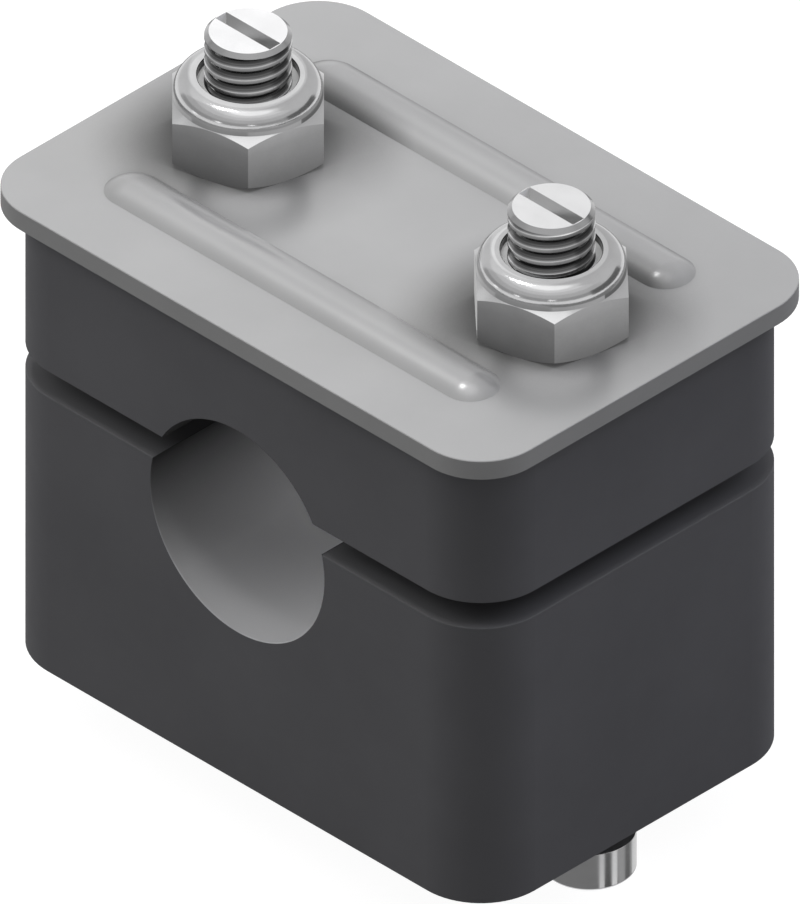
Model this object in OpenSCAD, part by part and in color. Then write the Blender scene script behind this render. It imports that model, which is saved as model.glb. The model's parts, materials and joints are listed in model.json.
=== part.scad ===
// Two-bolt tube clamp: a split plastic block round a tube, closed by a pressed cover
// plate, two hammer-head bolts and two lock nuts with a nylon ring.
// The origin is the centre of the tube bore, +Y runs along the tube, +X along the line
// of the bolts, and +Z points from the bolt heads to the nuts.

/* [Tube] */
// Outside diameter of the tube that the clamp holds
tube_d = 32; // [20:0.5:36]

/* [Plastic block] */
// Length of the block along the line of the bolts
body_l = 90; // [84:1:120]
// Width of the block along the tube
body_w = 60; // [40:1:80]
// Radius of the four upright corners
body_corner_r = 10; // [4:0.5:14]
// Depth of the lower half below the tube's centre
lower_depth = 40; // [30:1:60]
// Height of the lower half's split face above the tube's centre
lower_rise = 4; // [1:0.5:6]
// Gap between the two halves as clamped
split_gap = 4; // [1:0.5:7]
// Height of the upper half's top above the tube's centre
upper_rise = 30; // [24:1:45]
// Chamfer round the edges of both halves
body_edge = 0.1; // [0.1:0.05:1]

/* [Cover plate] */
// Thickness of the plate
plate_t = 3; // [2:0.25:5]
// Distance by which the plate stands out past the block on each side
plate_overhang = 2; // [0:0.5:5]
// Radius of the plate's corners
plate_corner_r = 9; // [4:0.5:14]
// Chamfer round the plate's edges
plate_edge = 0.1; // [0.1:0.05:0.6]
// Distance from the end of each pressed rib to the end of the plate
rib_end = 12; // [9:0.5:20]
// Width of each pressed rib at the plate's face
rib_w = 8; // [7:0.25:10]
// Height of each pressed rib
rib_h = 1.5; // [1:0.1:1.6]
// Distance between the centre lines of the two ribs
rib_spacing = 36; // [34:1:46]

/* [Bolts] */
// Distance from the axis of each bolt to the end of the block
bolt_end = 17; // [15:0.5:20]
// Diameter over the thread
thread_d = 11.5; // [10:0.1:11.8]
// Length of the thread, from the bolt's end
thread_l = 36; // [30:1:44]
// Height of the bolt's end above the plate
bolt_rise = 18; // [17:0.1:24]
// Chamfer on the bolt's end
thread_end = 0.6; // [0.2:0.05:1]
// Diameter of the plain shank
shank_d = 12; // [11.8:0.1:12.6]
// Width of the screwdriver slot in the bolt's end
slot_w = 2; // [1:0.1:3]
// Length of the slot, which ends inside the chamfer
slot_l = 10; // [6:0.1:10]
// Depth of the screwdriver slot
slot_depth = 3; // [1.5:0.1:5]
// Overall length of the hammer head
head_l = 26.4; // [20:0.2:34]
// Width of the hammer head
head_w = 12.4; // [12:0.1:15]
// Thickness of the hammer head
head_t = 5.7; // [4:0.1:9]
// Space between the block's underside and the hammer head, for the support's lips
head_gap = 4.9; // [3:0.1:12]
// Diameter of the bolt holes through block and plate
hole_d = 13; // [12.8:0.1:14]

/* [Lock nuts] */
// Width across the flats
nut_af = 19.8; // [18:0.1:21]
// Overall height
nut_h = 11.1; // [10.7:0.05:13]
// Height of the hexagon up to the round collar
hex_h = 8.05; // [7:0.05:8.4]
// Diameter of the round collar that holds the nylon ring
collar_d = 19.7; // [18:0.1:19.7]
// Radius of the rolled shoulder on the collar
collar_round = 2.4; // [0.8:0.1:2.4]
// Diameter of the opening in the collar's lip
lip_d = 13.4; // [12.8:0.1:14.2]
// Chamfer on the inner edge of the lip
lip_edge = 0.1; // [0.05:0.05:0.3]
// Thickness of the lip over the nylon ring
lip_t = 1.1; // [0.5:0.05:1.3]
// Direction of one corner of the left nut, from +X
nut_angle_left = -45; // [-60:1:60]
// Direction of one corner of the right nut, from +X
nut_angle_right = -43; // [-60:1:60]
// Outside diameter of the nylon ring
ring_d = 16.2; // [15.4:0.1:16.6]

/* [Fits] */
// Radial clearance between thread and nut
thread_fit = 0.05; // [0.02:0.01:0.1]
// Radial clearance between the nylon ring and its seat
ring_fit = 0.02; // [0.01:0.01:0.05]

/* [Hidden] */
$fn = 96;
// Cutting tools run past the surfaces that they cut by this much
past = 1;
// Angle of the chamfers on the nut's corners
nut_chamfer = 30;
upper_base = lower_rise + split_gap;
plate_z = upper_rise;
nut_z = plate_z + plate_t;
bolt_top = nut_z + bolt_rise;
head_top = -lower_depth - head_gap;
bolt_spacing = body_l - 2 * bolt_end;
plate_l = body_l + 2 * plate_overhang;
plate_w = body_w + 2 * plate_overhang;
rib_l = plate_l - 2 * rib_end;
// Radius of the arc in the rib's section, from its width and height
rib_r = (pow(rib_w / 2, 2) + pow(rib_h, 2)) / (2 * rib_h);
// Depth of that arc's centre below the plate's face
rib_sink = rib_r - rib_h;
nut_corner_r = nut_af / 2 / cos(30);
// The seat of the nylon ring starts level with the hexagon's top at its flats
seat_z = hex_h - (nut_af - collar_d) / 2 * tan(nut_chamfer);
ring_h = nut_h - lip_t - seat_z;
thread_bore_r = thread_d / 2 + thread_fit;
plastic = [0.27, 0.27, 0.28];
plate_steel = [0.70, 0.70, 0.70];
bright_steel = [0.80, 0.80, 0.81];
nylon = [0.72, 0.72, 0.70];

// Section of a block with chamfered edges, l long and h high, standing on the X axis
module chamfered_section(l, h, c) {
    polygon([
        [-l / 2 + c, 0], [l / 2 - c, 0], [l / 2, c], [l / 2, h - c],
        [l / 2 - c, h], [-l / 2 + c, h], [-l / 2, h - c], [-l / 2, c]
    ]);
}

// Block with upright corners of radius r, and a chamfer c round top and bottom
module chamfered_block(l, w, h, r, c) {
    rotate([90, 0, 0])
        linear_extrude(w - 2 * r, center = true)
            chamfered_section(l, h, c);
    rotate([90, 0, 90])
        linear_extrude(l - 2 * r, center = true)
            chamfered_section(w, h, c);
    for (x = [-1, 1], y = [-1, 1])
        translate([x * (l / 2 - r), y * (w / 2 - r), 0])
            rotate_extrude()
                polygon([[0, 0], [r - c, 0], [r, c], [r, h - c], [r - c, h], [0, h]]);
}

// Places its children on the axis of each bolt
module at_bolts() {
    for (x = [-1, 1])
        translate([x * bolt_spacing / 2, 0, 0])
            children();
}

// Bolt hole from z = low to z = high, with a chamfer c at both mouths
module bolt_hole(low, high, c) {
    translate([0, 0, low - past])
        cylinder(d = hole_d, h = high - low + 2 * past);
    translate([0, 0, low])
        mouth(hole_d / 2, c);
    translate([0, 0, high])
        mirror([0, 0, 1])
            mouth(hole_d / 2, c);
}

// Chamfer c at the mouth of a hole of radius r, opening towards -Z from z = 0
module mouth(r, c) {
    translate([0, 0, -past])
        cylinder(r1 = r + c + past, r2 = r, h = c + past);
}

// Bore for the tube, with a chamfer at both ends
module tube_bore() {
    rotate([90, 0, 0]) {
        cylinder(d = tube_d, h = body_w + 2 * past, center = true);
        for (side = [0, 1])
            mirror([0, 0, side])
                translate([0, 0, -body_w / 2])
                    mouth(tube_d / 2, body_edge);
    }
}

// Half of the plastic block between z = low and z = high
module block_half(low, high) {
    difference() {
        translate([0, 0, low])
            chamfered_block(body_l, body_w, high - low, body_corner_r, body_edge);
        tube_bore();
        at_bolts() bolt_hole(low, high, body_edge);
    }
}

module lower_half() {
    color(plastic) block_half(-lower_depth, lower_rise);
}

module upper_half() {
    color(plastic) block_half(upper_base, upper_rise);
}

// Long bead with ball ends: an arc of radius r, sunk below z = 0, along X
module bead(r, l) {
    translate([0, 0, -rib_sink]) {
        rotate([0, 90, 0])
            cylinder(r = r, h = l, center = true);
        for (x = [-1, 1])
            translate([x * l / 2, 0, 0])
                sphere(r = r);
    }
}

// The ribs are pressed up out of the sheet, so the hollow below keeps its thickness
module cover_plate() {
    rib_axis_l = rib_l - rib_w;
    color(plate_steel)
        translate([0, 0, plate_z])
            difference() {
                union() {
                    chamfered_block(plate_l, plate_w, plate_t, plate_corner_r, plate_edge);
                    for (y = [-1, 1])
                        translate([0, y * rib_spacing / 2, plate_t])
                            intersection() {
                                bead(rib_r, rib_axis_l);
                                translate([0, 0, rib_h - plate_t / 2])
                                    cube([rib_l + rib_w, 2 * rib_w, plate_t], center = true);
                            }
                }
                for (y = [-1, 1])
                    translate([0, y * rib_spacing / 2, plate_t])
                        bead(rib_r - plate_t, rib_axis_l);
                at_bolts() bolt_hole(0, plate_t, plate_edge);
            }
}

// Hammer-head bolt on the Z axis: turned shank and thread, head along X, slotted end
module hammer_bolt() {
    thread_base = bolt_top - thread_l;
    step = (shank_d - thread_d) / 2;
    difference() {
        union() {
            rotate_extrude()
                polygon([
                    [0, head_top - head_t / 2],
                    [shank_d / 2, head_top - head_t / 2],
                    [shank_d / 2, thread_base],
                    [thread_d / 2, thread_base + step],
                    [thread_d / 2, bolt_top - thread_end],
                    [thread_d / 2 - thread_end, bolt_top],
                    [0, bolt_top]
                ]);
            translate([0, 0, head_top - head_t])
                linear_extrude(head_t) {
                    square([head_l - head_w, head_w], center = true);
                    for (x = [-1, 1])
                        translate([x * (head_l - head_w) / 2, 0])
                            circle(d = head_w);
                }
        }
        translate([0, 0, bolt_top - slot_depth / 2 + past / 2])
            cube([slot_l, slot_w, slot_depth + past], center = true);
    }
}

module bolt_left() {
    color(bright_steel) translate([-bolt_spacing / 2, 0, 0]) hammer_bolt();
}

module bolt_right() {
    color(bright_steel) translate([bolt_spacing / 2, 0, 0]) hammer_bolt();
}

// Section of the collar: upright wall, rolled shoulder and flat top, solid to the axis
module collar_section() {
    r = collar_d / 2;
    base = hex_h - past;
    translate([0, base])
        square([r, nut_h - collar_round - base]);
    translate([0, base])
        square([r - collar_round, nut_h - base]);
    translate([r - collar_round, nut_h - collar_round])
        circle(r = collar_round);
}

// Lock nut on the Z axis, with its seat face at z = 0 and one corner at the given angle
module lock_nut(angle) {
    rim = nut_corner_r + past;
    difference() {
        union() {
            intersection() {
                rotate([0, 0, angle])
                    cylinder(r = nut_corner_r, h = hex_h, $fn = 6);
                rotate_extrude()
                    polygon([
                        [0, 0],
                        [nut_af / 2, 0],
                        [rim, (rim - nut_af / 2) * tan(nut_chamfer)],
                        [rim, hex_h - (rim - collar_d / 2) * tan(nut_chamfer)],
                        [collar_d / 2, hex_h],
                        [0, hex_h]
                    ]);
            }
            rotate_extrude() collar_section();
        }
        translate([0, 0, -past])
            cylinder(r = thread_bore_r, h = nut_h + 2 * past);
        translate([0, 0, seat_z])
            cylinder(d = ring_d + 2 * ring_fit, h = ring_h);
        translate([0, 0, seat_z])
            cylinder(d = lip_d, h = nut_h);
        translate([0, 0, nut_h])
            mirror([0, 0, 1])
                mouth(lip_d / 2, lip_edge);
    }
}

// Nylon ring in the nut's collar, between the seat and the lip
module nylon_ring() {
    translate([0, 0, seat_z])
        difference() {
            cylinder(d = ring_d, h = ring_h);
            translate([0, 0, -past])
                cylinder(r = thread_bore_r, h = ring_h + 2 * past);
        }
}

module nut_left() {
    color(bright_steel)
        translate([-bolt_spacing / 2, 0, nut_z]) lock_nut(nut_angle_left);
}

module nut_right() {
    color(bright_steel)
        translate([bolt_spacing / 2, 0, nut_z]) lock_nut(nut_angle_right);
}

module nut_ring_left() {
    color(nylon) translate([-bolt_spacing / 2, 0, nut_z]) nylon_ring();
}

module nut_ring_right() {
    color(nylon) translate([bolt_spacing / 2, 0, nut_z]) nylon_ring();
}

lower_half();
upper_half();
cover_plate();
bolt_left();
bolt_right();
nut_left();
nut_right();
nut_ring_left();
nut_ring_right();
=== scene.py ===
"""Looks of the two-bolt tube clamp: threaded bolts, finishes, studio and camera.

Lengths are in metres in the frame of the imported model: origin at the centre of the tube
bore, +Y along the tube, +X along the line of the bolts, +Z up towards the nuts. Greys are
linear.
"""

import json
import math

import bmesh
import bpy
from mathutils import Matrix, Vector


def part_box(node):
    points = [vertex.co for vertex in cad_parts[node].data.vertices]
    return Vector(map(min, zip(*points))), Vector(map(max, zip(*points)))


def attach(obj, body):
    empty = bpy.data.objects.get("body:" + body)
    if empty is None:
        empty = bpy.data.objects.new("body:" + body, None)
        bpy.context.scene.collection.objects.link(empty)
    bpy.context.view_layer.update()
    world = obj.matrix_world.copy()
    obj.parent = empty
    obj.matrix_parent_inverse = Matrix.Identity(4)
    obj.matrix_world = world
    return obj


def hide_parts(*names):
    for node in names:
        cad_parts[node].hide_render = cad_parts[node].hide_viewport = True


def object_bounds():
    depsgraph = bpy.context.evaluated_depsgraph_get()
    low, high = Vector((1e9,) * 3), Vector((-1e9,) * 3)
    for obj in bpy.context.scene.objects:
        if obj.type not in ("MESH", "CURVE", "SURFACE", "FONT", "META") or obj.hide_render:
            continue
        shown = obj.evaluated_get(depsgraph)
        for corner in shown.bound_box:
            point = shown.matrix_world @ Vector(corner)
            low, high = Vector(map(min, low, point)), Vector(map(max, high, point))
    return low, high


MM = 0.001

# Bolt sizes, as in the part's source
THREAD_R = 5.75 * MM
THREAD_PITCH = 2.0 * MM
THREAD_L = 36 * MM
THREAD_DEPTH = 0.4 * MM
CREST_W = 0.5 * MM
ROOT_W = 0.2 * MM
SHANK_R = 6.0 * MM
END_CHAMFER = 0.6 * MM
SLOT_L = 10.0 * MM
SLOT_W = 2.0 * MM
SLOT_DEPTH = 3.0 * MM
HEAD_T = 5.7 * MM
HEAD_EDGE = 0.04 * MM
# Radius of the opening in the nuts' lip
LIP_R = 6.7 * MM
# Distance from the bolt's end down to the upper edge of a crest, on the side at -45 degrees
CREST_DROP = {"bolt_left": 1.97 * MM, "bolt_right": 0.94 * MM}
CREST_AZIMUTH = math.radians(-45)
# Share of the groove's height that is left where it runs into the end's chamfer
SQUEEZE = 0.001

# Painted highlight at a crest's upper edge and painted shade in the groove, down to the next crest
PAINTED_THREAD_LIGHT = [
    (0, 0.9), (0.06, 0.6), (0.15, 0.45), (0.25, 0.4), (0.4, 0.16), (0.6, 0.1), (0.68, 0.08),
    (0.74, 0.1), (0.79, 0.2), (0.84, 0.13), (0.9, 0.24), (0.95, 0.42), (1, 0.9),
]

# Reach of the shade that neighbours cast on each other
SHADE_REACH = 12 * MM
# Depth of that shade on the plate: beside and behind a nut, and in front of it or far off
PLATE_SHADE = (3.9, 1.3)
# Direction from a nut in which the plate is least shaded, and the distances between which
# the direction stops to count
FRONT_AZIMUTH = math.radians(-30)
FRONT_FADE = (14 * MM, 22 * MM)
# Depth of the shade on a nut's flats and on its collar, and the heights between which it changes
NUT_SHADE = (1.6, 0.5)
NUT_SHADE_FADE = (6 * MM, 9 * MM)

# Surfaces are told apart by place to within this distance
EDGE = 0.1 * MM

# Smoothness of turned shapes
TURNS = 144
SHARP_ANGLE = math.radians(22)

# Grey of the floor, and the light that it adds for the camera and in reflections
FLOOR_GREY = 0.22
FLOOR_GLOW = 0.95

# Light of the world on the object
WORLD_LIGHT = 0.2

# Lamps: name, direction from the origin, distance, size, level, colour, and whether it shows
# in glossy surfaces. The last one stands in the bore
WHITE = (1, 1, 1)
LAMPS = [
    ("key", (0, 0, 1), 0.7, 0.4, 0.5, WHITE, False),
    ("highlight", (-0.35, 0, 0.94), 0.7, 0.08, 0.11, WHITE, True),
    ("side_left", (-1, -1, 1.3), 0.6, 0.35, 0.26, WHITE, False),
    ("side_right", (1, 1, 1.3), 0.6, 0.35, 0.235, (0.85, 0.87, 1.0), False),
    ("bore_fill", (0.5, 0, 1), 8 * MM, 6 * MM, 0.5, WHITE, False),
]

# Cards only show in glossy surfaces. Their angles are in degrees, azimuths from +X towards +Y,
# and the points of a curved card are this far apart
ARC_STEP = 5

# Card over the floor: height above it, half its side, and grey
FLOOR_CARD = (0.2 * MM, 0.35, 0.28)

# Cards that the right hammer head mirrors: first and last azimuth, and grey
HEAD_BANDS = [
    (-140, -24, 0.19), (-20, -8, 0.62), (-6, 9, 0.1), (13, 27, 0.75), (33, 50, 0.35),
    (54, 72, 0.14), (82, 135, 0.72),
]
BAND_HEIGHT = 0.3 * MM
BAND_REACH = 12 * MM

# Card that nuts and bolts mirror in place of the cover plate: height above it, and grey
PLATE_CARD = (0.005 * MM, 0.42)

# Cards round each nut's axis: first and last azimuth, radius, height above the plate, and
# grey. The last one keeps the undersides of the threads dark
NUT_BANDS = [
    (-225, -120, 22.5 * MM, 0.01 * MM, 0.6),
    (-120, -45, 22.5 * MM, 0.01 * MM, 0.39),
    (-45, 25, 22.5 * MM, 0.01 * MM, 0.62),
    (25, 135, 22.5 * MM, 0.01 * MM, 0.2),
    (-180, 180, 9.8 * MM, 0.015 * MM, 0.02),
]

# Cards on a sphere round the origin: name, azimuths, elevations, radius, and grey
DOME_CARDS = [
    ("front_card_low", (-165, 38), (8, 26), 0.5, 0.42),
    ("front_card_middle", (-165, 38), (26, 46), 0.5, 0.62),
    ("front_card_high", (-165, 38), (46, 62), 0.5, 0.8),
    ("right_card", (38, 128), (8, 70), 0.5, 0.72),
    ("dark_card", (14, 75), (2, 27), 0.49, 0.16),
    ("left_card", (152, 195), (8, 42), 0.5, 0.8),
    ("top_card", (0, 360), (75, 90), 0.5, 1.5),
    ("back_card", (135, 147), (30, 50), 0.5, 1.35),
    ("window_0", (-46, -38), (14, 20), 0.49, 2.0),
    ("window_1", (-95, -87), (10, 16), 0.49, 2.0),
    ("window_2", (-133, -125), (2, 8), 0.49, 2.0),
]

# Camera of a true isometric view, its azimuth from -Y towards +X
VIEW_AZIMUTH = math.radians(45)
VIEW_ELEVATION = math.asin(math.tan(math.radians(30)))
VIEW_HEIGHT = 118.0 * MM
VIEW_RIGHT = 0.033 * MM
VIEW_UP = -1.912 * MM
VIEW_DISTANCE = 0.6


def link_mesh(name, bm):
    """A linked object that holds the finished bmesh."""
    mesh = bpy.data.meshes.new(name)
    bm.to_mesh(mesh)
    bm.free()
    obj = bpy.data.objects.new(name, mesh)
    bpy.context.scene.collection.objects.link(obj)
    return obj


def loft(name, rings):
    """A closed solid through rings of points, all with as many points, with flat ends."""
    bm = bmesh.new()
    rows = [[bm.verts.new(point) for point in ring] for ring in rings]
    count = len(rows[0])
    for low, high in zip(rows, rows[1:]):
        for i in range(count):
            j = (i + 1) % count
            bm.faces.new((low[i], low[j], high[j], high[i]))
    bm.faces.new(rows[0])
    bm.faces.new(rows[-1])
    bmesh.ops.recalc_face_normals(bm, faces=bm.faces)
    return link_mesh(name, bm)


def circle(centre, radius, z):
    """Points of a level circle."""
    angles = [2 * math.pi * i / TURNS for i in range(TURNS)]
    return [(centre.x + radius * math.cos(a), centre.y + radius * math.sin(a), z) for a in angles]


def turned(name, centre, profile):
    """A solid of revolution about an upright axis, from (radius, z) pairs."""
    return loft(name, [circle(centre, radius, z) for radius, z in profile])


def stadium(centre, length, radius, z):
    """Points of a level bar with round ends, its length along X."""
    reach = length / 2 - radius
    points = []
    for i in range(TURNS):
        a = 2 * math.pi * (i + 0.5) / TURNS - math.pi / 2
        side = reach if math.cos(a) > 0 else -reach
        points.append((centre.x + side + radius * math.cos(a), centre.y + radius * math.sin(a), z))
    return points


def box_solid(name, low, high):
    """A plain box, used only to cut with."""
    corners = [(low.x, low.y), (high.x, low.y), (high.x, high.y), (low.x, high.y)]
    return loft(name, [[(x, y, z) for x, y in corners] for z in (low.z, high.z)])


def carve(target, tool, operation):
    """Applies a boolean to the target's mesh and deletes the tool."""
    modifier = target.modifiers.new("carve", "BOOLEAN")
    modifier.operation = operation
    modifier.solver = "EXACT"
    modifier.object = tool
    depsgraph = bpy.context.evaluated_depsgraph_get()
    mesh = bpy.data.meshes.new_from_object(target.evaluated_get(depsgraph))
    target.modifiers.clear()
    target.data = mesh
    bpy.data.objects.remove(tool)


def thread_groove(name, centre, crest_z, low, high):
    """The helical groove of a right-hand thread, as a solid to cut with.

    crest_z is the height of a crest's upper edge at CREST_AZIMUTH. Above high, the groove
    is squeezed flat.
    """
    clear = THREAD_R + 0.5 * MM
    root = THREAD_R - THREAD_DEPTH
    mouth = (THREAD_PITCH - CREST_W) / 2
    floor = ROOT_W / 2
    section = [
        (clear, -mouth), (THREAD_R, -mouth), (root, -floor),
        (root, floor), (THREAD_R, mouth), (clear, mouth),
    ]
    first = -TURNS * (math.ceil((crest_z - low) / THREAD_PITCH) + 1)
    last = math.floor(TURNS * (high - crest_z) / THREAD_PITCH)
    rings = []
    for step in range(first, last):
        turn = step / TURNS
        angle = CREST_AZIMUTH + 2 * math.pi * turn
        middle = crest_z + mouth + THREAD_PITCH * turn
        ring = []
        for r, dz in section:
            over = max(middle + dz - high, 0)
            z = middle + dz - over * (1 - SQUEEZE)
            ring.append((centre.x + r * math.cos(angle), centre.y + r * math.sin(angle), z))
        rings.append(ring)
    return loft(name, rings)


def smooth(obj):
    """Smooth shading that keeps the true edges sharp."""
    obj.data.polygons.foreach_set("use_smooth", [True] * len(obj.data.polygons))
    obj.data.set_sharp_from_angle(angle=SHARP_ANGLE)


def hammer_bolt(node):
    """A bolt with a cut thread, screwdriver slot and rounded hammer head."""
    low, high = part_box(node)
    centre = (low + high) / 2
    head_l = high.x - low.x
    head_r = (high.y - low.y) / 2
    thread_base = high.z - THREAD_L
    bolt = turned(node + "_threaded", centre, [
        (SHANK_R, low.z + HEAD_T / 2),
        (SHANK_R, thread_base),
        (THREAD_R, thread_base + SHANK_R - THREAD_R),
        (THREAD_R, high.z - END_CHAMFER),
        (THREAD_R - END_CHAMFER, high.z),
    ])
    crest_z = high.z - CREST_DROP[node]
    groove = thread_groove("groove", centre, crest_z, thread_base, high.z - END_CHAMFER)
    carve(bolt, groove, "DIFFERENCE")
    head = loft("head", [
        stadium(centre, head_l - 2 * HEAD_EDGE, head_r - HEAD_EDGE, low.z),
        stadium(centre, head_l, head_r, low.z + HEAD_EDGE),
        stadium(centre, head_l, head_r, low.z + HEAD_T - HEAD_EDGE),
        stadium(centre, head_l - 2 * HEAD_EDGE, head_r - HEAD_EDGE, low.z + HEAD_T),
    ])
    carve(bolt, head, "UNION")
    slot = box_solid(
        "slot",
        Vector((centre.x - SLOT_L / 2, centre.y - SLOT_W / 2, high.z - SLOT_DEPTH)),
        Vector((centre.x + SLOT_L / 2, centre.y + SLOT_W / 2, high.z + SLOT_DEPTH)),
    )
    carve(bolt, slot, "DIFFERENCE")
    smooth(bolt)
    return bolt


def grey(value, blue=1.0):
    """A grey, with blue raised by a factor."""
    return (value, value, value * blue, 1.0)


class Finish:
    """One node material, with short calls to add its nodes."""

    def __init__(self, name):
        self.material = bpy.data.materials.new(name)
        self.material.use_nodes = True
        self.nodes = self.material.node_tree.nodes
        self.links = self.material.node_tree.links
        self.shader = next(n for n in self.nodes if n.type == "BSDF_PRINCIPLED")
        self.place = self.nodes.new("ShaderNodeTexCoord").outputs["Object"]

    def put(self, socket, value):
        """Links the value if it is an output, or else sets it."""
        if isinstance(value, bpy.types.NodeSocket):
            self.links.new(value, socket)
        else:
            socket.default_value = value

    def set(self, **values):
        """Sets or links the shader's sockets."""
        for name, value in values.items():
            self.put(self.shader.inputs[name.replace("_", " ")], value)

    def noise(self, size, detail=2.0, stretch=(1, 1, 1)):
        """Noise with features of the given size, drawn out along each axis by stretch."""
        mapping = self.nodes.new("ShaderNodeMapping")
        self.put(mapping.inputs["Vector"], self.place)
        mapping.inputs["Scale"].default_value = [1 / (size * s) for s in stretch]
        noise = self.nodes.new("ShaderNodeTexNoise")
        self.put(noise.inputs["Vector"], mapping.outputs["Vector"])
        noise.inputs["Scale"].default_value = 1
        noise.inputs["Detail"].default_value = detail
        return noise.outputs["Fac"]

    def fade(self, value, low, high, first=0.0, last=1.0):
        """first where the value is low or less, last where it is high or more, and between
        them where it lies between."""
        node = self.nodes.new("ShaderNodeMapRange")
        self.put(node.inputs["Value"], value)
        node.inputs["From Min"].default_value = low
        node.inputs["From Max"].default_value = high
        node.inputs["To Min"].default_value = first
        node.inputs["To Max"].default_value = last
        return node.outputs["Result"]

    def spread(self, noise, low, high):
        """The middle range of a noise, carried over to low to high."""
        return self.fade(noise, 0.3, 0.7, low, high)

    def blend(self, share, first, second):
        """A colour between two."""
        node = self.nodes.new("ShaderNodeMix")
        node.data_type = "RGBA"
        self.put(node.inputs["Factor"], share)
        colours = [s for s in node.inputs if s.type == "RGBA"]
        for socket, colour in zip(colours, (first, second)):
            self.put(socket, colour)
        return next(s for s in node.outputs if s.type == "RGBA")

    def ramp(self, value, stops):
        """Steel greys from (place, grey) pairs, blended between them."""
        node = self.nodes.new("ShaderNodeValToRGB")
        self.put(node.inputs["Fac"], value)
        elements = node.color_ramp.elements
        while len(elements) < len(stops):
            elements.new(1.0)
        for element, (place, level) in zip(elements, stops):
            element.position = place
            element.color = grey(level, 1.01)
        return node.outputs["Color"]

    def calc(self, operation, *values):
        """One arithmetic step on outputs or numbers."""
        node = self.nodes.new("ShaderNodeMath")
        node.operation = operation
        for socket, value in zip(node.inputs, values):
            self.put(socket, value)
        return node.outputs["Value"]

    def all_of(self, *masks):
        """1 where every mask is 1, or else 0."""
        product = masks[0]
        for mask in masks[1:]:
            product = self.calc("MULTIPLY", product, mask)
        return product

    def between(self, value, low, high):
        """1 where the value lies between two limits, or else 0."""
        return self.all_of(
            self.calc("GREATER_THAN", value, low),
            self.calc("LESS_THAN", value, high),
        )

    def xyz(self):
        """The three Object coordinates."""
        split = self.nodes.new("ShaderNodeSeparateXYZ")
        self.put(split.inputs["Vector"], self.place)
        return list(split.outputs)

    def radius(self, a, b):
        """Distance from the axis where both of two offsets are 0."""
        squares = self.calc("ADD", self.calc("POWER", a, 2), self.calc("POWER", b, 2))
        return self.calc("SQRT", squares)

    def contact_shade(self, depth):
        """1 on open surfaces, falling towards 0 where a neighbour shades them."""
        occlusion = self.nodes.new("ShaderNodeAmbientOcclusion")
        occlusion.samples = 16
        occlusion.inputs["Distance"].default_value = SHADE_REACH
        return self.calc("POWER", occlusion.outputs["AO"], depth)

    def bump(self, height, depth):
        """A bump of the given depth."""
        node = self.nodes.new("ShaderNodeBump")
        self.put(node.inputs["Height"], height)
        node.inputs["Strength"].default_value = 1.0
        node.inputs["Distance"].default_value = depth
        return node.outputs["Normal"]


def moulded_plastic(bore_r, bore_l, split_low, split_high):
    """Dark grey moulded block, with a fine grain and faint cloudy flow marks. The split faces have
    an even grey. The bore's inner surface carries painted light: it is painted pale, with painted
    shade towards its mouths and its top."""
    finish = Finish("moulded_plastic")
    cloud = finish.spread(finish.noise(18 * MM, 3), 0, 1)
    grain = finish.noise(0.35 * MM, 2)
    x, y, z = finish.xyz()
    in_bore = finish.calc("LESS_THAN", finish.radius(x, z), bore_r + EDGE)
    in_split = finish.between(z, split_low - EDGE, split_high + EDGE)
    outside = finish.blend(cloud, grey(0.137, 1.06), grey(0.152, 1.06))
    faces = finish.blend(in_split, outside, grey(0.135, 1.04))
    # Painted light on the bore's inner surface: pale deep inside, painted shade towards the mouths
    # and the top
    outward = finish.fade(finish.calc("ABSOLUTE", y), bore_l / 7, bore_l / 2)
    up = finish.fade(z, -0.75 * bore_r, 0.25 * bore_r)
    painted_bore_light = finish.blend(outward, grey(1.0, 1.02), grey(0.6, 1.02))
    finish.set(
        Base_Color=finish.blend(in_bore, faces, finish.blend(up, painted_bore_light, grey(0.03, 1.02))),
        Roughness=finish.spread(finish.noise(3 * MM, 3), 0.5, 0.58),
        Specular_IOR_Level=0.2,
        Normal=finish.bump(grain, 0.006 * MM),
    )
    return finish.material


def satin_sheet(bolt_x):
    """Satin stainless sheet, with faint rolling lines along X and a soft shade round the nuts,
    which is lighter at their front, as in the picture."""
    finish = Finish("satin_sheet")
    x, y = finish.xyz()[:2]
    nearest_x = finish.calc("MULTIPLY", finish.calc("SIGN", x), bolt_x)
    off_axis = finish.calc("SUBTRACT", x, nearest_x)
    away = finish.radius(off_axis, y)
    ahead = finish.calc("MULTIPLY", off_axis, math.cos(FRONT_AZIMUTH))
    ahead = finish.calc("MULTIPLY_ADD", y, math.sin(FRONT_AZIMUTH), ahead)
    front = finish.fade(finish.calc("DIVIDE", ahead, away), 0, 0.8)
    far = finish.fade(away, *FRONT_FADE)
    depth = finish.fade(finish.calc("MAXIMUM", front, far), 0, 1, *PLATE_SHADE)
    lines = finish.noise(0.12 * MM, 3, stretch=(60, 1, 1))
    cloud = finish.spread(finish.noise(14 * MM, 3), 0, 1)
    sheet = finish.blend(cloud, grey(0.395), grey(0.42))
    finish.set(
        Base_Color=finish.blend(finish.contact_shade(depth), grey(0.04), sheet),
        Metallic=0.3,
        Roughness=finish.spread(lines, 0.25, 0.27),
        Normal=finish.bump(lines, 0.00015 * MM),
    )
    return finish.material


def steel_finish(name, low, high, roughness):
    """The finish and cloudy colour of bright steel, with a slightly uneven polish."""
    finish = Finish(name)
    cloud = finish.spread(finish.noise(4 * MM, 3), 0, 1)
    fine = finish.noise(0.15 * MM, 2)
    finish.set(
        Metallic=1.0,
        Roughness=finish.spread(fine, roughness * 0.85, roughness * 1.15),
        Normal=finish.bump(fine, 0.0008 * MM),
    )
    return finish, finish.blend(cloud, grey(low, 1.01), grey(high, 1.01))


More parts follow.
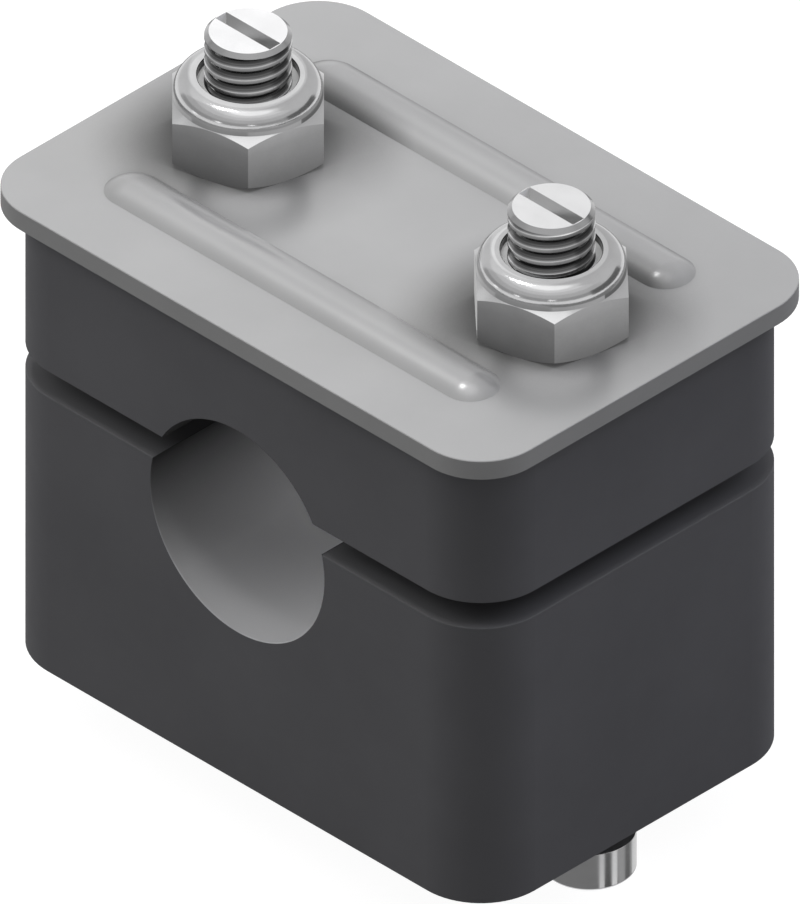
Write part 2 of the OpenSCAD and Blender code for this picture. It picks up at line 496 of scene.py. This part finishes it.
def nut_steel(bolt_x, bore_r, base_z):
    """Bright steel nut, with painted shade towards the plate and a near-black painted shade inside
    its bore.
    """
    finish, steel = steel_finish("nut_steel", 0.55, 0.6, 0.16)
    x, y, z = finish.xyz()
    off_axis = finish.calc("SUBTRACT", finish.calc("ABSOLUTE", x), bolt_x)
    outside = finish.calc("GREATER_THAN", finish.radius(off_axis, y), bore_r)
    low, high = NUT_SHADE_FADE
    depth = finish.fade(z, base_z + low, base_z + high, *NUT_SHADE)
    shaded = finish.blend(finish.contact_shade(depth), grey(0.04), steel)
    # Near-black painted shade inside the bore
    finish.set(Base_Color=finish.blend(outside, grey(0.02), shaded))
    return finish.material


def bolt_steel(node, centre_x, end_z):
    """Bright steel bolt. The thread has a painted highlight along its crests and painted shade in
    its grooves. The end's chamfer is a darker grey, and the slot's ends are a near-white matte
    grey, a painted highlight."""
    finish, steel = steel_finish(node + "_steel", 0.72, 0.78, 0.2)
    x, y, z = finish.xyz()
    off_axis = finish.calc("SUBTRACT", x, centre_x)
    away = finish.radius(off_axis, y)
    angle = finish.calc("ARCTAN2", y, off_axis)
    turn = finish.calc("DIVIDE", finish.calc("SUBTRACT", angle, CREST_AZIMUTH), 2 * math.pi)
    crest_z = end_z - CREST_DROP[node]
    below = finish.calc("DIVIDE", finish.calc("SUBTRACT", crest_z, z), THREAD_PITCH)
    phase = finish.calc("FRACT", finish.calc("ADD", below, turn))
    near = EDGE / 10
    thread_top = end_z - END_CHAMFER
    on_thread = finish.all_of(
        finish.between(away, THREAD_R - THREAD_DEPTH - EDGE, THREAD_R + EDGE),
        finish.between(z, thread_top - THREAD_L, thread_top - near),
    )
    on_chamfer = finish.all_of(
        finish.calc("GREATER_THAN", away, THREAD_R - END_CHAMFER + near),
        finish.between(z, thread_top - near / 2, end_z - near / 2),
    )
    in_slot_end = finish.all_of(
        finish.calc("LESS_THAN", finish.calc("ABSOLUTE", off_axis), SLOT_L / 2 + EDGE),
        finish.calc("LESS_THAN", finish.calc("ABSOLUTE", y), SLOT_W / 2 - near),
        finish.between(z, end_z - SLOT_DEPTH + EDGE, end_z - near),
    )
    plain = finish.blend(on_chamfer, steel, grey(0.42, 1.01))
    # Painted highlight along the thread's crests and painted shade in its grooves
    threaded = finish.blend(on_thread, plain, finish.ramp(phase, PAINTED_THREAD_LIGHT))
    # The slot's ends are painted near-white and matte: a painted highlight
    finish.set(
        Base_Color=finish.blend(in_slot_end, threaded, grey(0.95)),
        Metallic=finish.calc("SUBTRACT", 1.0, in_slot_end),
    )
    return finish.material


def natural_nylon():
    """Matte milky nylon ring, with a faint mottle."""
    finish = Finish("natural_nylon")
    cloud = finish.spread(finish.noise(0.8 * MM, 3), 0, 1)
    finish.set(
        Base_Color=finish.blend(cloud, grey(0.6), grey(0.67)),
        Roughness=finish.spread(finish.noise(0.3 * MM), 0.5, 0.62),
        Normal=finish.bump(finish.noise(0.1 * MM), 0.003 * MM),
    )
    return finish.material


def dress(obj, material):
    """Gives the object one material."""
    obj.data.materials.clear()
    obj.data.materials.append(material)


def unmirrored(obj):
    """Keeps the object out of mirror images. In the picture, the metal pieces don't show in
    each other."""
    obj.visible_glossy = False


def blank_nodes(owner):
    """The emptied nodes of a material or world, and its links."""
    owner.use_nodes = True
    owner.node_tree.nodes.clear()
    return owner.node_tree.nodes, owner.node_tree.links


def background_share(nodes, links, most):
    """most for camera, glossy and transmission rays, which see the background, and 0 for
    others."""
    path = nodes.new("ShaderNodeLightPath")
    total = path.outputs["Is Camera Ray"]
    for name in ("Is Glossy Ray", "Is Transmission Ray"):
        add = nodes.new("ShaderNodeMath")
        add.operation = "ADD"
        add.use_clamp = True
        links.new(total, add.inputs[0])
        links.new(path.outputs[name], add.inputs[1])
        total = add.outputs["Value"]
    scale = nodes.new("ShaderNodeMath")
    scale.operation = "MULTIPLY"
    links.new(total, scale.inputs[0])
    scale.inputs[1].default_value = most
    return scale.outputs["Value"]


def end_stage_nodes(nodes, links, surface, one_sided):
    """Ends a stage material with its surface. A one-sided one is clear from behind."""
    if one_sided:
        clear = nodes.new("ShaderNodeBsdfTransparent")
        side = nodes.new("ShaderNodeNewGeometry")
        both = nodes.new("ShaderNodeMixShader")
        links.new(side.outputs["Backfacing"], both.inputs["Fac"])
        links.new(surface, both.inputs[1])
        links.new(clear.outputs["BSDF"], both.inputs[2])
        surface = both.outputs["Shader"]
    output = nodes.new("ShaderNodeOutputMaterial")
    links.new(surface, output.inputs["Surface"])


def level_face(name, points):
    """One level face, seen from above with its points anticlockwise."""
    bm = bmesh.new()
    bm.faces.new([bm.verts.new(point) for point in points])
    return link_mesh(name, bm)


def level_box(name, half_x, half_y, z):
    """A level rectangle round the Z axis."""
    corners = [(-half_x, -half_y), (half_x, -half_y), (half_x, half_y), (-half_x, half_y)]
    return level_face(name, [(x, y, z) for x, y in corners])


def strip(name, rows):
    """An open surface through rows of points, all with as many points."""
    bm = bmesh.new()
    rows = [[bm.verts.new(point) for point in row] for row in rows]
    for low, high in zip(rows, rows[1:]):
        for i in range(len(low) - 1):
            bm.faces.new((low[i], low[i + 1], high[i + 1], high[i]))
    return link_mesh(name, bm)


def arc(first, last):
    """Angles in radians from first to last, both in degrees, about ARC_STEP apart."""
    count = max(1, round((last - first) / ARC_STEP))
    return [math.radians(first + (last - first) * i / count) for i in range(count + 1)]


def level_direction(angle):
    """The level unit vector at an azimuth."""
    return Vector((math.cos(angle), math.sin(angle), 0))


def make_floor(z):
    """Floor under the clamp that reads white and keeps the shadow. It can't be seen from
    below."""
    floor = level_box("floor", 1.5, 1.5, z)
    material = bpy.data.materials.new("pale_floor")
    nodes, links = blank_nodes(material)
    matte = nodes.new("ShaderNodeBsdfDiffuse")
    matte.inputs["Color"].default_value = grey(FLOOR_GREY)
    glow = nodes.new("ShaderNodeEmission")
    glow.inputs["Color"].default_value = grey(1.0)
    links.new(background_share(nodes, links, FLOOR_GLOW), glow.inputs["Strength"])
    surface = nodes.new("ShaderNodeAddShader")
    links.new(matte.outputs["BSDF"], surface.inputs[0])
    links.new(glow.outputs["Emission"], surface.inputs[1])
    end_stage_nodes(nodes, links, surface.outputs["Shader"], one_sided=True)
    dress(floor, material)


def reflect_only(card, level, one_sided=False):
    """Makes the object a studio card of an even grey that only shows in glossy surfaces."""
    material = bpy.data.materials.new(card.name)
    nodes, links = blank_nodes(material)
    glow = nodes.new("ShaderNodeEmission")
    glow.inputs["Color"].default_value = grey(1.0)
    glow.inputs["Strength"].default_value = level
    end_stage_nodes(nodes, links, glow.outputs["Emission"], one_sided)
    dress(card, material)
    card.visible_camera = False
    card.visible_diffuse = False
    card.visible_transmission = False
    card.visible_shadow = False


def floor_cards(z):
    """A card over the floor, and light and dark cards on it, fanned out from the round end of
    the right bolt's head, which give its polished side the upright bands of the picture."""
    height, half, level = FLOOR_CARD
    reflect_only(level_box("floor_card", half, half, z + height), level)
    low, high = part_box("bolt_right")
    radius = (high.y - low.y) / 2
    middle = Vector((high.x - radius, (low.y + high.y) / 2, z + BAND_HEIGHT))
    for number, (first, last, level) in enumerate(HEAD_BANDS):
        starts, ends = [], []
        for a in arc(first, last):
            # Where the head's side faces half-way between a and the camera, it mirrors a
            foot = (a - VIEW_AZIMUTH) / 2
            starts.append(middle + radius * level_direction(foot))
            ends.append(starts[-1] + BAND_REACH * level_direction(a))
        reflect_only(strip("head_band_%d" % number, [starts, ends]), level)


def plate_cards(bolt_x, z, half_x, half_y):
    """Cards on the cover plate that stand for it in the nuts and bolts. They show from above
    only, and move with the plate."""
    for centre_x in (-bolt_x, bolt_x):
        for number, (first, last, radius, height, level) in enumerate(NUT_BANDS):
            centre = Vector((centre_x, 0, z + height))
            rim = [centre + radius * level_direction(a) for a in arc(first, last)]
            card = level_face("nut_band_%d" % number, [centre] + rim)
            reflect_only(card, level, one_sided=True)
            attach(card, "jaw")
    height, level = PLATE_CARD
    card = level_box("plate_card", half_x, half_y, z + height)
    reflect_only(card, level, one_sided=True)
    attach(card, "jaw")


def dome_cards():
    """Cards that stand round the clamp, on a sphere."""
    for name, azimuths, elevations, radius, level in DOME_CARDS:
        rows = []
        for up in arc(*elevations):
            flat = radius * math.cos(up)
            height = Vector((0, 0, radius * math.sin(up)))
            rows.append([flat * level_direction(a) + height for a in arc(*azimuths)])
        reflect_only(strip(name, rows), level)


def make_world(strength):
    """White to the camera and in reflections, and a plain soft light on the object."""
    world = bpy.data.worlds.new("studio")
    bpy.context.scene.world = world
    nodes, links = blank_nodes(world)
    soft = nodes.new("ShaderNodeBackground")
    soft.inputs["Color"].default_value = grey(1.0)
    soft.inputs["Strength"].default_value = strength
    white = nodes.new("ShaderNodeBackground")
    white.inputs["Color"].default_value = grey(1.0)
    white.inputs["Strength"].default_value = 1.0
    mix = nodes.new("ShaderNodeMixShader")
    links.new(background_share(nodes, links, 1.0), mix.inputs["Fac"])
    links.new(soft.outputs["Background"], mix.inputs[1])
    links.new(white.outputs["Background"], mix.inputs[2])
    output = nodes.new("ShaderNodeOutputWorld")
    links.new(mix.outputs["Shader"], output.inputs["Surface"])


def softbox(name, direction, distance, size, level, colour, shows):
    """A square lamp aimed at the origin, of which level is the share of full white that it
    lights."""
    lamp = bpy.data.lights.new(name, "AREA")
    lamp.shape = "SQUARE"
    lamp.size = size
    lamp.color = colour
    lamp.energy = level * (math.pi * distance) ** 2
    obj = bpy.data.objects.new(name, lamp)
    bpy.context.scene.collection.objects.link(obj)
    towards = Vector(direction).normalized()
    obj.location = towards * distance
    obj.rotation_mode = "QUATERNION"
    obj.rotation_quaternion = towards.to_track_quat("Z", "Y")
    obj.visible_camera = False
    obj.visible_glossy = shows


def make_camera():
    """Orthographic camera at the picture's viewing angle."""
    flat = math.cos(VIEW_ELEVATION)
    back = Vector((
        math.sin(VIEW_AZIMUTH) * flat,
        -math.cos(VIEW_AZIMUTH) * flat,
        math.sin(VIEW_ELEVATION),
    ))
    turn = back.to_track_quat("Z", "Y")
    right = turn @ Vector((1, 0, 0))
    up = turn @ Vector((0, 1, 0))
    data = bpy.data.cameras.new("camera")
    data.type = "ORTHO"
    data.ortho_scale = VIEW_HEIGHT
    data.clip_start = 0.01
    data.clip_end = 10
    camera = bpy.data.objects.new("camera", data)
    bpy.context.scene.collection.objects.link(camera)
    camera.location = back * VIEW_DISTANCE + right * VIEW_RIGHT + up * VIEW_UP
    camera.rotation_mode = "QUATERNION"
    camera.rotation_quaternion = turn
    bpy.context.scene.camera = camera


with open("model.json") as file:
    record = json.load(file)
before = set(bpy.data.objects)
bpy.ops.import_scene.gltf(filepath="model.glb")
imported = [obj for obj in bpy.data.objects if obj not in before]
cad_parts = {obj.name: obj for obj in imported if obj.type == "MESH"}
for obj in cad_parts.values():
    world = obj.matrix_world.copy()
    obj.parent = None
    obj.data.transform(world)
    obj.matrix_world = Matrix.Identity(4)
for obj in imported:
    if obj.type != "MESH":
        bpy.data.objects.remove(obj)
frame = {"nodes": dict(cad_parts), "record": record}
nodes = frame["nodes"]
cad_low, cad_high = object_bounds()

bpy.context.scene.view_settings.view_transform = "Standard"
make_camera()

bore = frame["record"]["mounts"][0]["dims"]
split_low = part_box("lower_half")[1].z
split_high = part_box("upper_half")[0].z
plastic = moulded_plastic(bore["r_mm"] * MM, bore["length_mm"] * MM, split_low, split_high)
for name in ("lower_half", "upper_half"):
    dress(nodes[name], plastic)

nut_low, nut_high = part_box("nut_right")
bolt_x = (nut_low.x + nut_high.x) / 2
dress(nodes["cover_plate"], satin_sheet(bolt_x))
unmirrored(nodes["cover_plate"])

steel = nut_steel(bolt_x, LIP_R + EDGE, nut_low.z)
nylon = natural_nylon()
for side in ("left", "right"):
    dress(nodes["nut_" + side], steel)
    unmirrored(nodes["nut_" + side])
    dress(nodes["nut_ring_" + side], nylon)
    node = "bolt_" + side
    bolt_low, bolt_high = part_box(node)
    bolt = hammer_bolt(node)
    dress(bolt, bolt_steel(node, (bolt_low.x + bolt_high.x) / 2, bolt_high.z))
    unmirrored(bolt)
    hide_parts(node)
    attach(bolt, side + "_bolt")

make_floor(cad_low.z)
make_world(WORLD_LIGHT)
for lamp in LAMPS:
    softbox(*lamp)
floor_cards(cad_low.z)
plate_cards(bolt_x, nut_low.z, cad_high.x, cad_high.y)
dome_cards()
